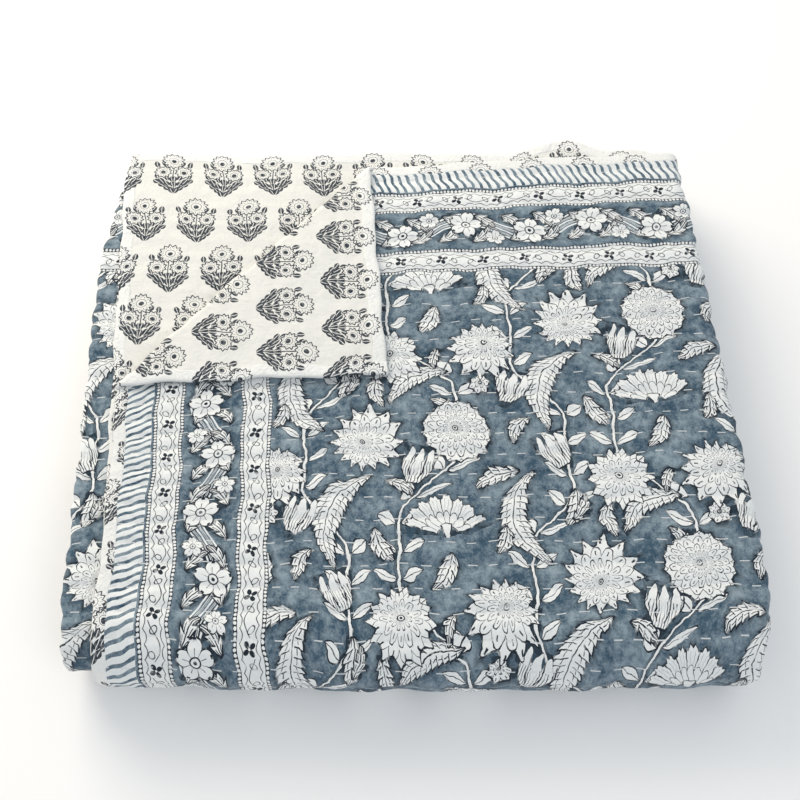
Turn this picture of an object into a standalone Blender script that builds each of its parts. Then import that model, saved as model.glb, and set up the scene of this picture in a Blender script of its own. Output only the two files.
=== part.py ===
"""A quilted cotton bedspread of 2.4 by 2.2 m, folded in half twice each way, with one corner turned back.

Metres, +Z up, the front at -Y. The cloth is cut flat and then folded by a rule, as by hand. A point of the flat
cloth is (u, v, w): u runs across from the side hem that ends on top of the pile, v runs along from the end hem
that ends on top, and w is the height above the middle of the quilt, positive on the printed face.
"""

import math

import bmesh
import bpy
import numpy as np
from mathutils import Matrix

# The cloth as cut and sewn
WIDTH = 2.405  # hem to hem across the pile
LENGTH = 2.200  # hem to hem along the pile
THICK = 0.0045  # face, wadding and reverse together
BINDING = 0.012  # how far the binding reaches in from the edge, on both faces
BINDING_CLOTH = 0.0007  # thickness of the binding's folded cloth
CLEAR = 0.0003  # air between sewn pieces
ROW = 0.0211  # from one row of running stitches to the next
FACE_SWELL = 0.0004  # how far the quilt swells between two rows
FACE_DIP = 0.0010  # how far a row of stitches draws the face in
FIRST_PUCKER = 0.017  # how far from the side hem the puckers begin

# The folded pile: four layers to a bundle, four bundles to the pile
LAYER = 0.0056  # pitch of the layers
BUNDLE = 4 * LAYER
TOP_ACROSS = 0.571  # the top layer, from its side hem to the start of the right fold
UNDER_ACROSS = 0.603  # the two lower layers, which reach past the hems to the left fold
TOP_ALONG = 0.516  # the top bundle, from its end hem to the start of the front fold
UNDER_ALONG = 0.513  # the two lower bundles, which end in the back fold
FLAP_SIDE, FLAP_END = 0.259, 0.267  # how far along the side hem and the end hem the corner is turned back
FLAP_BEND = 0.0032  # radius of its fold
FLAP_PULL, FLAP_SLANT = 0.030, 0.050  # shares by which the turned corner is pulled out long and aslant

# How the pile lies
SKEW = -0.060  # the pile leans to the left towards its back
TAPER = 0.020  # share by which it is narrower at its front
FRONT_BULGE = 0.004  # how far its front stands out in the middle
TOP_TURN = 0.040  # the top layer is turned a little: its end hem lies this much further forward at the side hem
TOP_LEAN = 0.010  # and its side hem this much further out at the end hem
LEAN_SLOPE = 0.0083  # less so along the hem, by this much per metre as far as the turn reaches
FRONT_LEAN = 0.0066  # and further out again at the front
TURN_REACH = 0.300  # how far from its corner the top layer lies turned as one
LEFT_OUT, LEFT_FAN = 0.011, 0.017  # the left fold juts out by this more at the front, and less and less behind
LEFT_TUCK = 0.030  # and its back end is tucked in by this
FAN_REACH = 0.180  # how far in from the left fold that fanning dies away
CROWN = 0.030  # share by which the middle of the pile stands above its rim
BACK_DROOP = 0.060  # share by which the pile is lower at its back edge
BACK_DROOP_REACH = 0.160
RIGHT_PULL = 0.010  # how far the front right corner is drawn in
LEFT_FLARE = 0.004  # how far the hems flare out at the front left corner
FOLD_PULL = 0.008  # and how far the left fold is drawn in there
CORNER_REACH = 0.090
PILE_CENTRE = (0.2745, 0.2450)  # middle of the laid pile's box, which becomes the origin

# Where the second layer's end hem pokes out: how far across, how wide to each side, how far out
HEM_POKES = [(0.462, 0.070, 0.022), (0.535, 0.036, 0.010), (0.010, 0.090, 0.006), (0.280, 0.120, 0.005)]

# Where a run is cut across so that it can bend, as shares of it, and in how many parts a bend is
ACROSS_SPLITS = (0.0, 0.2, 0.4, 0.6, 0.8)
ALONG_SPLITS = (0.0, 0.10, 0.25, 0.43, 0.62, 0.80, 0.93)
BEND_PARTS, WIDE_BEND_PARTS, FLAP_PARTS = 6, 10, 6

COTTON = {
    "quilted_cotton": ((0.155, 0.215, 0.270, 1.0), 0.9),
    "binding_cotton": ((0.840, 0.820, 0.750, 1.0), 0.9),
}


def folded_in_quarters(runs, pitch):
    """Rows of (length, turn) for a path that is folded in half and in half again.

    turn is 0 on a run, -1 where the path bends down and under, and +1 where it bends up inside that bend."""
    wide, tight = 1.5 * pitch * math.pi, 0.5 * pitch * math.pi
    return [(runs[0], 0), (wide, -1), (runs[1], 0), (tight, -1), (runs[2], 0), (tight, 1), (runs[3], 0)]


def last_run(total, runs, pitch):
    """What is left of the cloth for its fourth run."""
    return total - sum(runs) - 2.5 * pitch * math.pi


ACROSS_RUNS = [TOP_ACROSS, UNDER_ACROSS, UNDER_ACROSS]
ALONG_RUNS = [TOP_ALONG, UNDER_ALONG, UNDER_ALONG]
ACROSS = folded_in_quarters(ACROSS_RUNS + [last_run(WIDTH, ACROSS_RUNS, LAYER)], LAYER)
ALONG = folded_in_quarters(ALONG_RUNS + [last_run(LENGTH, ALONG_RUNS, BUNDLE)], BUNDLE)
EDGE = BINDING_CLOTH + CLEAR  # the quilted layers stop this far short of the hem
LEFT_FOLD_U = ACROSS[0][0] + ACROSS[1][0] + ACROSS[2][0] + ACROSS[3][0] / 2
PILE_HALF = 2 * BUNDLE - (LAYER - THICK) / 2  # half the height of the neat pile


def follow(path, start_height, s, off):
    """Where cloth at the distance s along a folded path lies, by off from its middle: (how far out, how high)."""
    out, high = np.zeros_like(s), np.zeros_like(s)
    begin, x, z, heading = 0.0, 0.0, start_height, 0.0
    for i, (length, turn) in enumerate(path):
        here = (s >= begin) if i else np.ones(s.shape, bool)
        d = s - begin
        if turn:
            radius = length / math.pi
            angle = heading + turn * d / radius
            cx, cz = x - turn * radius * math.sin(heading), z + turn * radius * math.cos(heading)
            px, pz = cx + turn * radius * np.sin(angle), cz - turn * radius * np.cos(angle)
            x, z = 2 * cx - x, 2 * cz - z
            heading += turn * math.pi
        else:
            angle = heading
            px, pz = x + d * math.cos(heading), z + d * math.sin(heading)
            x, z = x + length * math.cos(heading), z + length * math.sin(heading)
        out = np.where(here, px - off * np.sin(angle), out)
        high = np.where(here, pz + off * np.cos(angle), high)
        begin += length
    return out, high


def lay_top(u, v):
    """How far the top layer's turn moves a point of it: (out, back). It is one plain slant up to TURN_REACH."""
    still_u = np.clip((TOP_ACROSS - u) / (TOP_ACROSS - TURN_REACH), 0, 1)
    still_v = np.clip((TOP_ALONG - v) / (TOP_ALONG - TURN_REACH), 0, 1)
    lean = -(TOP_LEAN - LEAN_SLOPE * np.minimum(v, TURN_REACH) + FRONT_LEAN * (1 - still_v)) * still_u
    turn = -TOP_TURN * np.clip(1 - u / TOP_ACROSS, 0, 1) * still_v
    return lean, turn


# The line the corner is turned over, on the laid pile, from the side hem to the end hem, and the same line on
# the flat cloth: all points with normal . point = distance
A_END = np.array([-TOP_LEAN + LEAN_SLOPE * FLAP_SIDE, TOP_ALONG - FLAP_SIDE - TOP_TURN])
B_END = np.array([FLAP_END - TOP_LEAN, TOP_ALONG - TOP_TURN * (1 - FLAP_END / TOP_ACROSS)])
OVER = np.array([A_END[1] - B_END[1], B_END[0] - A_END[0]]) / np.linalg.norm(B_END - A_END)
FLAT_OVER = np.array([OVER[0] + OVER[1] * TOP_TURN / TOP_ACROSS, OVER[0] * LEAN_SLOPE - OVER[1]])


def turn_corner_back(x, y, up):
    """The top layer's corner, past the line A to B, rolls over FLAP_BEND and lies face down on that layer."""
    past = (x - A_END[0]) * OVER[0] + (y - A_END[1]) * OVER[1]
    angle = np.clip(past / FLAP_BEND, 0, math.pi)
    rolled = (FLAP_BEND - up) * np.sin(angle) - (1 + FLAP_PULL) * np.maximum(past - math.pi * FLAP_BEND, 0)
    up_now = FLAP_BEND - (FLAP_BEND - up) * np.cos(angle)
    shift = np.where(past > 0, rolled - past, 0)
    slant = FLAP_SLANT * np.maximum(past - math.pi * FLAP_BEND, 0)
    x, y = x + shift * OVER[0] + slant * OVER[1], y + shift * OVER[1] - slant * OVER[0]
    return x, y, np.where(past > 0, up_now, up)


def ease(x):
    """0 below 0, 1 above 1, and smooth between."""
    x = np.clip(x, 0, 1)
    return x * x * (3 - 2 * x)


def fold(points):
    """Moves points (u, v, w) of the flat cloth to where they lie in the folded pile."""
    u, v, w = np.asarray(points, float).T
    x, stack = follow(ACROSS, 1.5 * LAYER, u, w)
    out, z = follow(ALONG, 1.5 * BUNDLE, v, stack)
    y, z = TOP_ALONG - out, z + PILE_HALF
    on_top, second = v < TOP_ALONG, u > WIDTH - TOP_ACROSS
    top_layer = on_top & (u < TOP_ACROSS)
    lean, turn = lay_top(u, v)
    x, y = x + np.where(u < TOP_ACROSS, lean, 0), y + np.where(top_layer, turn, 0)
    top_middle = PILE_HALF + 1.5 * (BUNDLE + LAYER)
    corner = turn_corner_back(x, y, z - top_middle)
    x, y, z = np.where(top_layer, (corner[0], corner[1], corner[2] + top_middle), (x, y, z))
    # The second layer's end hem pokes out in places, and the left fold fans out towards the front
    back = np.clip(y / TOP_ALONG, 0, 1)
    for place, half_width, poke in HEM_POKES:
        y = y + np.where(on_top & second, poke * (1 - ease(np.abs(x - place) / half_width)) * back ** 4, 0)
    near_left = 1 - ease(np.abs(u - LEFT_FOLD_U) / FAN_REACH)
    x = x + (LEFT_FAN * back - LEFT_OUT + LEFT_TUCK * np.clip(3 * back - 2, 0, 1) ** 2) * near_left
    # The whole pile leans, its front corners are drawn in, its middle is a little crowned and its back droops
    x_mid, y_mid = PILE_CENTRE
    front = 1 - ease((y + 1.5 * BUNDLE + 2 * LAYER) / CORNER_REACH)
    side = (x - x_mid) / x_mid
    y = y - FRONT_BULGE * np.clip(1 - side ** 2, 0, 1) * (1 - y / TOP_ALONG)
    x = x - TAPER * (x - x_mid) * (1 - back)
    x = x + front * (np.where(side > 0, -RIGHT_PULL, -LEFT_FLARE) * side ** 4 + FOLD_PULL * near_left)
    rise = 1 + CROWN * np.clip(1 - side ** 2, 0, 1) * np.clip(1 - ((y - y_mid) / y_mid) ** 2, 0, 1)
    rise = rise - BACK_DROOP * np.clip((y - TOP_ALONG) / BACK_DROOP_REACH + 1, 0, 1.2) ** 2
    x = x + SKEW * (y - y_mid)
    return np.stack([x - x_mid, y - y_mid, z * rise], axis=1)


def cuts(path, size, splits):
    """Where a flat piece is cut across so that it can bend: each run at its splits, each bend evenly.

    Next to the hems, at 0 and size, the quilt and the bindings are cut at the same places, so they lie close."""
    found, begin = [BINDING + CLEAR, size - BINDING - CLEAR], 0.0
    for i, (length, turn) in enumerate(path):
        parts = WIDE_BEND_PARTS if length > 0.05 else BEND_PARTS
        shares = [k / parts for k in range(parts)]
        if not turn:
            shares = splits if i % 4 == 0 else [0.0] + [1 - share for share in splits[1:]]
        found += [begin + length * share for share in shares if begin + share]
        begin += length
    return found


def cut_across(bm, normal, distances, wanted=None):
    """Cuts the flat piece at each distance along normal, everywhere or only on the wanted faces."""
    for distance in distances:
        faces = [f for f in bm.faces if wanted is None or wanted(f.calc_center_median())]
        edges = {e for f in faces for e in f.edges}
        verts = {v for e in edges for v in e.verts}
        point = [n * distance for n in normal]
        bmesh.ops.bisect_plane(bm, geom=[*verts, *edges, *faces], dist=1e-7, plane_co=point, plane_no=normal)


def cut_for_flap(bm):
    """Cuts the corner along the lines where it will roll over."""
    length = np.linalg.norm(FLAT_OVER)
    normal = (*(FLAT_OVER / length), 0)
    start, step = FLAP_SIDE * FLAT_OVER[1] / length, math.pi * FLAP_BEND / FLAP_PARTS / length
    cut_across(bm, normal, [start + i * step for i in range(FLAP_PARTS + 1)])


def fold_and_show(bm, name, finish, relief=None):
    """Folds the flat piece and makes it an object of its own."""
    bmesh.ops.triangulate(bm, faces=bm.faces)
    bmesh.ops.recalc_face_normals(bm, faces=bm.faces)
    flat = np.array([v.co for v in bm.verts], float)
    if relief is not None:
        flat[:, 2] += relief(flat)
    for vert, place in zip(bm.verts, fold(flat)):
        vert.co = place
    # Folding takes v towards the front, which mirrors the piece
    bmesh.ops.reverse_faces(bm, faces=bm.faces)
    mesh = bpy.data.meshes.new(name)
    bm.to_mesh(mesh)
    bm.free()
    mesh.shade_smooth()
    mesh.set_sharp_from_angle(angle=math.radians(50))
    mesh.materials.append(cotton(finish))
    piece = bpy.data.objects.new(name, mesh)
    bedspread.objects.link(piece)
    return piece


def cotton(name):
    """A plain cotton finish of the named colour."""
    if name in bpy.data.materials:
        return bpy.data.materials[name]
    colour, rough = COTTON[name]
    made = bpy.data.materials.new(name)
    made.use_nodes = True
    made.diffuse_color = colour
    shader = made.node_tree.nodes["Principled BSDF"]
    shader.inputs["Base Color"].default_value = colour
    shader.inputs["Roughness"].default_value = rough
    shader.inputs["Metallic"].default_value = 0.0
    return made


def stitched_relief(flat):
    """On the outside of the pile the rows of stitches draw the printed face in, and it swells between them."""
    u, v, w = flat.T
    outside = (w > THICK / 4) & (u < sum(row[0] for row in ACROSS[:2])) & (v < ALONG[0][0] + 0.8 * ALONG[1][0])
    inside_binding = (u > FIRST_PUCKER) & (v > BINDING + CLEAR)
    wave = np.cos(2 * math.pi * v / ROW)
    height = (FACE_SWELL - FACE_DIP) / 2 - (FACE_SWELL + FACE_DIP) / 2 * wave
    return np.where(outside & inside_binding, height, 0)


def make_quilt():
    """The quilted body: one slab, thinner at its rim where the binding holds it."""
    bm = bmesh.new()
    bmesh.ops.create_cube(bm, size=1.0, matrix=Matrix.Diagonal((WIDTH, LENGTH, THICK, 1)))
    bmesh.ops.translate(bm, vec=(WIDTH / 2, LENGTH / 2, 0), verts=bm.verts)
    rims = [EDGE, BINDING, FIRST_PUCKER, WIDTH - BINDING, WIDTH - EDGE]
    cut_across(bm, (1, 0, 0), cuts(ACROSS, WIDTH, ACROSS_SPLITS) + rims)
    rims = [EDGE, LENGTH - EDGE, BINDING, LENGTH - BINDING]
    cut_across(bm, (0, 1, 0), cuts(ALONG, LENGTH, ALONG_SPLITS) + rims)
    outer = [f for f in bm.faces if not (EDGE < f.calc_center_median().x < WIDTH - EDGE
                                         and EDGE < f.calc_center_median().y < LENGTH - EDGE)]
    bmesh.ops.delete(bm, geom=outer, context="FACES")
    open_edges = [e for e in bm.edges if e.is_boundary]
    bmesh.ops.bridge_loops(bm, edges=open_edges)
    for vert in bm.verts:
        from_edge = min(vert.co.x, WIDTH - vert.co.x, vert.co.y, LENGTH - vert.co.y)
        if from_edge < BINDING + CLEAR / 2:
            vert.co.z *= 1 - 2 * (BINDING_CLOTH + CLEAR) / THICK
    top_u, top_v = sum(row[0] for row in ACROSS[:2]), sum(row[0] for row in ALONG[:2])
    rows = [ROW * i / 2 for i in range(2, int(2 * top_v / ROW) + 1)]
    cut_across(bm, (0, 1, 0), rows, lambda c: FIRST_PUCKER < c.x < top_u and c.y < top_v and c.z > THICK / 4)
    cut_for_flap(bm)
    return fold_and_show(bm, "quilt", "quilted_cotton", stitched_relief)


def channel(length):
    """A flat strip of binding as long as length: a channel section along +Y, open towards +X."""
    half, hollow, wall, reach = THICK / 2, THICK / 2 - BINDING_CLOTH, BINDING_CLOTH, BINDING - CLEAR
    section = [(0, -half), (reach, -half), (reach, -hollow), (wall, -hollow),
               (wall, hollow), (reach, hollow), (reach, half), (0, half)]
    outline = bpy.data.curves.new("binding_section", "CURVE")
    outline.dimensions, outline.fill_mode, outline.extrude = "2D", "BOTH", length / 2
    line = outline.splines.new("POLY")
    line.points.add(len(section) - 1)
    line.use_cyclic_u = True
    for point, (across, up) in zip(line.points, section):
        point.co = (across, up, 0, 1)
    guide = bpy.data.objects.new("binding_section", outline)
    mesh = bpy.data.meshes.new_from_object(guide)
    bpy.data.objects.remove(guide)
    bm = bmesh.new()
    bm.from_mesh(mesh)
    bpy.data.meshes.remove(mesh)
    bmesh.ops.remove_doubles(bm, verts=bm.verts, dist=1e-6)
    # The curve extrudes along Z: lay the strip down along Y, with its section's height along Z
    lay_down = Matrix(((1, 0, 0, 0), (0, 0, -1, length / 2), (0, 1, 0, 0), (0, 0, 0, 1)))
    bmesh.ops.transform(bm, matrix=lay_down, verts=bm.verts)
    return bm


def make_side_binding(name, far_side):
    """The binding of a side hem, the whole length of the cloth."""
    bm = channel(LENGTH)
    if far_side:
        bmesh.ops.transform(bm, matrix=Matrix(((-1, 0, 0, WIDTH), (0, 1, 0, 0), (0, 0, 1, 0), (0, 0, 0, 1))),
                            verts=bm.verts)
    cut_across(bm, (0, 1, 0), cuts(ALONG, LENGTH, ALONG_SPLITS) + [BINDING, LENGTH - BINDING])
    if not far_side:
        cut_for_flap(bm)
    return fold_and_show(bm, name, "binding_cotton")


def make_end_binding(name, far_end):
    """The binding of an end hem, between the two side bindings."""
    bm = channel(WIDTH - 2 * BINDING)
    turned = Matrix(((0, 1, 0, BINDING), (1, 0, 0, 0), (0, 0, 1, 0), (0, 0, 0, 1)))
    if far_end:
        turned = Matrix(((0, 1, 0, BINDING), (-1, 0, 0, LENGTH), (0, 0, 1, 0), (0, 0, 0, 1)))
    bmesh.ops.transform(bm, matrix=turned, verts=bm.verts)
    cut_across(bm, (1, 0, 0), cuts(ACROSS, WIDTH, ACROSS_SPLITS) + [FIRST_PUCKER])
    if not far_end:
        cut_for_flap(bm)
    return fold_and_show(bm, name, "binding_cotton")


for old in list(bpy.data.objects):
    bpy.data.objects.remove(old)
bedspread = bpy.data.collections.new("bedspread")
bpy.context.scene.collection.children.link(bedspread)
make_quilt()
make_side_binding("side_binding_top", far_side=False)
make_side_binding("side_binding_second", far_side=True)
make_end_binding("end_binding_top", far_end=False)
make_end_binding("end_binding_inner", far_end=True)
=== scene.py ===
"""Looks of the folded, hand-quilted bedspread: the quilt, its block prints and stitches, and its bindings.

Metres, +Z up, the front at -Y. A point of the flat cloth is (u, v, w): u runs across from the side hem that
ends on top, v runs along from the end hem that ends on top, and w is the height above the quilt's middle.
The prints are drawn in mm, on the cloth's own coordinates.
"""

import math

import bmesh
import bpy
import numpy as np
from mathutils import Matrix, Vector


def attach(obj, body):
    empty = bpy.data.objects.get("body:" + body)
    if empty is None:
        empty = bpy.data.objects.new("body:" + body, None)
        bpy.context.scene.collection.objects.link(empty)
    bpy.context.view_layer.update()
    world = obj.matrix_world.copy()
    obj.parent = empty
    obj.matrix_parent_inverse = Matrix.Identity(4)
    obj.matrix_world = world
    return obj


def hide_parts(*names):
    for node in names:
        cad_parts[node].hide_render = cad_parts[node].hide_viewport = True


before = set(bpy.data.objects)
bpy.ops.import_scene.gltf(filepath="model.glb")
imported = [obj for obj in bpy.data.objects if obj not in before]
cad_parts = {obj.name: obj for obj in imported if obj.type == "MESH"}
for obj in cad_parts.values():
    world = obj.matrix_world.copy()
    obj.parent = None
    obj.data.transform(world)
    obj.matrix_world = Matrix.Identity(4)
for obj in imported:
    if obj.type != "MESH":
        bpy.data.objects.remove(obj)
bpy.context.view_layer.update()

# The cloth and its folds, as in the frame
WIDTH, LENGTH, THICK = 2.405, 2.200, 0.0045
BINDING, BINDING_CLOTH, CLEAR = 0.012, 0.0007, 0.0003
EDGE = BINDING_CLOTH + CLEAR
ROW = 0.0211  # from one row of running stitches to the next
STITCH = 0.0180  # from one stitch to the next
FACE_SWELL, FACE_DIP = 0.0008, 0.0019  # how far the cloth swells between two rows, and is drawn in at a row
WRINKLE, WRINKLE_EVERY = 0.0003, 0.0135  # the small puckers between two rows
UNEVEN = 0.0005  # the cloth's own unevenness
LAYER = 0.0056
BUNDLE = 4 * LAYER
TOP_ACROSS, UNDER_ACROSS = 0.571, 0.603
TOP_ALONG, UNDER_ALONG = 0.516, 0.513
FLAP_SIDE, FLAP_END, FLAP_BEND = 0.259, 0.267, 0.0032
FLAP_PULL, FLAP_SLANT, FLAP_WAVE = 0.030, 0.050, 0.0014
TIP_REACH, TIP_TUCK = 0.030, 0.006  # the tip of the second layer's corner is drawn in
SKEW, TAPER, FRONT_BULGE = -0.060, 0.020, 0.004
TOP_TURN, TURN_REACH = 0.040, 0.300
TOP_LEAN, LEAN_SLOPE, FRONT_LEAN = 0.010, 0.0083, 0.0066
LEFT_OUT, LEFT_FAN, LEFT_TUCK, FAN_REACH = 0.011, 0.017, 0.030, 0.180
CROWN, BACK_DROOP, BACK_DROOP_REACH = 0.030, 0.060, 0.160
RIGHT_PULL, LEFT_FLARE, FOLD_PULL, CORNER_REACH = 0.010, 0.004, 0.008, 0.090
PILE_CENTRE = (0.2745, 0.2450)
HEM_POKES = [(0.462, 0.070, 0.022), (0.535, 0.036, 0.010), (0.010, 0.090, 0.006), (0.280, 0.120, 0.005)]


def folded_in_quarters(total, runs, pitch):
    """Rows of (length, turn) for a path folded in half and in half again: turn is 0 on a run."""
    wide, tight = 1.5 * pitch * math.pi, 0.5 * pitch * math.pi
    last = total - sum(runs) - 2.5 * pitch * math.pi
    return [(runs[0], 0), (wide, -1), (runs[1], 0), (tight, -1), (runs[2], 0), (tight, 1), (last, 0)]


ACROSS = folded_in_quarters(WIDTH, [TOP_ACROSS, UNDER_ACROSS, UNDER_ACROSS], LAYER)
ALONG = folded_in_quarters(LENGTH, [TOP_ALONG, UNDER_ALONG, UNDER_ALONG], BUNDLE)
LEFT_FOLD_U = ACROSS[0][0] + ACROSS[1][0] + ACROSS[2][0] + ACROSS[3][0] / 2
PILE_HALF = 2 * BUNDLE - (LAYER - THICK) / 2


def follow(path, start_height, s, off):
    """Where cloth at s along a folded path lies, by off from its middle: (how far out, how high)."""
    out, high = np.zeros_like(s), np.zeros_like(s)
    begin, x, z, heading = 0.0, 0.0, start_height, 0.0
    for i, (length, turn) in enumerate(path):
        here = (s >= begin) if i else np.ones(s.shape, bool)
        d = s - begin
        if turn:
            radius = length / math.pi
            angle = heading + turn * d / radius
            cx, cz = x - turn * radius * math.sin(heading), z + turn * radius * math.cos(heading)
            px, pz = cx + turn * radius * np.sin(angle), cz - turn * radius * np.cos(angle)
            x, z = 2 * cx - x, 2 * cz - z
            heading += turn * math.pi
        else:
            angle = heading
            px, pz = x + d * math.cos(heading), z + d * math.sin(heading)
            x, z = x + length * math.cos(heading), z + length * math.sin(heading)
        out = np.where(here, px - off * np.sin(angle), out)
        high = np.where(here, pz + off * np.cos(angle), high)
        begin += length
    return out, high


def lay_top(u, v):
    """How far the top layer's turn moves a point of it."""
    still_u = np.clip((TOP_ACROSS - u) / (TOP_ACROSS - TURN_REACH), 0, 1)
    still_v = np.clip((TOP_ALONG - v) / (TOP_ALONG - TURN_REACH), 0, 1)
    lean = -(TOP_LEAN - LEAN_SLOPE * np.minimum(v, TURN_REACH) + FRONT_LEAN * (1 - still_v)) * still_u
    turn = -TOP_TURN * np.clip(1 - u / TOP_ACROSS, 0, 1) * still_v
    return lean, turn


A_END = np.array([-TOP_LEAN + LEAN_SLOPE * FLAP_SIDE, TOP_ALONG - FLAP_SIDE - TOP_TURN])
B_END = np.array([FLAP_END - TOP_LEAN, TOP_ALONG - TOP_TURN * (1 - FLAP_END / TOP_ACROSS)])
OVER = np.array([A_END[1] - B_END[1], B_END[0] - A_END[0]]) / np.linalg.norm(B_END - A_END)
FLAT_OVER = np.array([OVER[0] + OVER[1] * TOP_TURN / TOP_ACROSS, OVER[0] * LEAN_SLOPE - OVER[1]])


def turn_corner_back(x, y, up):
    """The top layer's corner rolls up over FLAP_BEND and lies face down on that layer."""
    past = (x - A_END[0]) * OVER[0] + (y - A_END[1]) * OVER[1]
    angle = np.clip(past / FLAP_BEND, 0, math.pi)
    lying = np.maximum(past - math.pi * FLAP_BEND, 0)
    rolled = (FLAP_BEND - up) * np.sin(angle) - (1 + FLAP_PULL) * lying
    up_now = FLAP_BEND - (FLAP_BEND - up) * np.cos(angle)
    shift = np.where(past > 0, rolled - past, 0)
    wave = 1 + np.sin(61 * x - 35 * y) * np.sin(48 * y + 22 * x + 1)
    up_now = up_now + FLAP_WAVE * ease(lying / 0.12) * wave
    slant = FLAP_SLANT * lying
    x, y = x + shift * OVER[0] + slant * OVER[1], y + shift * OVER[1] - slant * OVER[0]
    return x, y, np.where(past > 0, up_now, up)


def ease(x):
    """0 below 0, 1 above 1, and smooth between."""
    x = np.clip(x, 0, 1)
    return x * x * (3 - 2 * x)


def loft(x, y):
    """Low waves of the soft pile, as a share of the height."""
    return (0.010 * np.sin(21 * x + 9 * y + 0.6) * np.sin(17 * y - 5 * x + 1.1)
            + 0.006 * np.sin(47 * x - 13 * y) * np.sin(39 * y + 2.0))


def rumples(x, y, z):
    """How far the small rumples of the pile move a point: (across, along)."""
    across = 0.0009 * np.sin(74 * y + 19 * x + 35 * z) + 0.0006 * np.sin(151 * y - 40 * x + 90 * z)
    along = 0.0010 * np.sin(66 * x - 23 * y + 40 * z) + 0.0007 * np.sin(139 * x + 37 * y - 70 * z)
    return across, along


def fold(flat):
    """Moves points (u, v, w) of the flat cloth to where they lie in the folded pile."""
    u, v, w = flat.T
    x, stack = follow(ACROSS, 1.5 * LAYER, u, w)
    out, z = follow(ALONG, 1.5 * BUNDLE, v, stack)
    y, z = TOP_ALONG - out, z + PILE_HALF
    on_top, second = v < TOP_ALONG, u > WIDTH - TOP_ACROSS
    top_layer = on_top & (u < TOP_ACROSS)
    lean, turn = lay_top(u, v)
    x, y = x + np.where(u < TOP_ACROSS, lean, 0), y + np.where(top_layer, turn, 0)
    top_middle = PILE_HALF + 1.5 * (BUNDLE + LAYER)
    corner = turn_corner_back(x, y, z - top_middle)
    x, y, z = np.where(top_layer, (corner[0], corner[1], corner[2] + top_middle), (x, y, z))
    back = np.clip(y / TOP_ALONG, 0, 1)
    for place, half_width, poke in HEM_POKES:
        y = y + np.where(on_top & second, poke * (1 - ease(np.abs(x - place) / half_width)) * back ** 4, 0)
    tip = np.hypot(WIDTH - u, v) / TIP_REACH
    tuck = TIP_TUCK * np.clip(1 - tip, 0, 1) ** 1.5
    x, y = x + np.where(second & on_top, tuck, 0), y - np.where(second & on_top, tuck, 0)
    near_left = 1 - ease(np.abs(u - LEFT_FOLD_U) / FAN_REACH)
    x = x + (LEFT_FAN * back - LEFT_OUT + LEFT_TUCK * np.clip(3 * back - 2, 0, 1) ** 2) * near_left
    x_mid, y_mid = PILE_CENTRE
    front = 1 - ease((y + 1.5 * BUNDLE + 2 * LAYER) / CORNER_REACH)
    side = (x - x_mid) / x_mid
    y = y - FRONT_BULGE * np.clip(1 - side ** 2, 0, 1) * (1 - y / TOP_ALONG)
    x = x - TAPER * (x - x_mid) * (1 - back)
    x = x + front * (np.where(side > 0, -RIGHT_PULL, -LEFT_FLARE) * side ** 4 + FOLD_PULL * near_left)
    rise = 1 + CROWN * np.clip(1 - side ** 2, 0, 1) * np.clip(1 - ((y - y_mid) / y_mid) ** 2, 0, 1)
    rise = rise - BACK_DROOP * np.clip((y - TOP_ALONG) / BACK_DROOP_REACH + 1, 0, 1.2) ** 2
    rise = rise + loft(x, y) * ease(z / 0.03)
    x = x + SKEW * (y - y_mid)
    across, along = rumples(x, y, z)
    return np.stack([x + across - x_mid, y + along - y_mid, np.maximum(z * rise, 0)], axis=1)


def spaced(start, end, step):
    """Distances from start up to, and without, end, about step apart."""
    return list(np.linspace(start, end, max(2, int(round((end - start) / step)) + 1))[:-1])


def cloth_lines(path, size, steps, extra=()):
    """Where the flat cloth is divided: a step for each run and bend of its path, and close lines at hems."""
    found, begin = [EDGE, BINDING, BINDING + CLEAR], 0.0
    for (length, turn), step in zip(path, steps):
        start = max(begin, BINDING + 0.004)
        end = min(begin + length, size - BINDING - 0.004)
        found += spaced(start, end, step)
        begin += length
    found += [size - BINDING - 0.004, size - BINDING - CLEAR, size - BINDING, size - EDGE]
    return np.array(sorted(found + list(extra)))


ACROSS_LINES = cloth_lines(ACROSS, WIDTH, [0.0060, 0.0035, 0.030, 0.0015, 0.030, 0.0015, 0.0115],
                           spaced(LEFT_FOLD_U - 0.055, LEFT_FOLD_U - 0.006, 0.007)
                           + spaced(LEFT_FOLD_U + 0.006, LEFT_FOLD_U + 0.055, 0.007))
ALONG_LINES = cloth_lines(ALONG, LENGTH, [ROW / 5, ROW / 5, 0.030, 0.005, 0.030, 0.005, 0.030])


def deselect():
    for o in bpy.context.selected_objects:
        o.select_set(False)


def flat_grid(name, across, along):
    """A grid with its lines at the given distances."""
    deselect()
    bpy.ops.mesh.primitive_grid_add(x_subdivisions=len(across) - 1, y_subdivisions=len(along) - 1, size=2)
    piece = bpy.context.active_object
    piece.name = piece.data.name = name
    co = vertex_places(piece.data)
    i = np.rint((co[:, 0] + 1) / 2 * (len(across) - 1)).astype(int)
    j = np.rint((co[:, 1] + 1) / 2 * (len(along) - 1)).astype(int)
    return piece, np.asarray(across)[i], np.asarray(along)[j]


def vertex_places(mesh):
    co = np.empty(3 * len(mesh.vertices))
    mesh.vertices.foreach_get("co", co)
    return co.reshape(-1, 3)


def put_vertices(mesh, places):
    mesh.vertices.foreach_set("co", np.ascontiguousarray(places, dtype=np.float32).ravel())
    mesh.update()


def thicken(piece, thickness, offset):
    """Gives a flat piece its thickness with a solidify modifier."""
    deselect()
    piece.select_set(True)
    bpy.context.view_layer.objects.active = piece
    wall = piece.modifiers.new("thickness", "SOLIDIFY")
    wall.thickness, wall.offset = thickness, offset
    bpy.ops.object.modifier_apply(modifier=wall.name)


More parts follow.
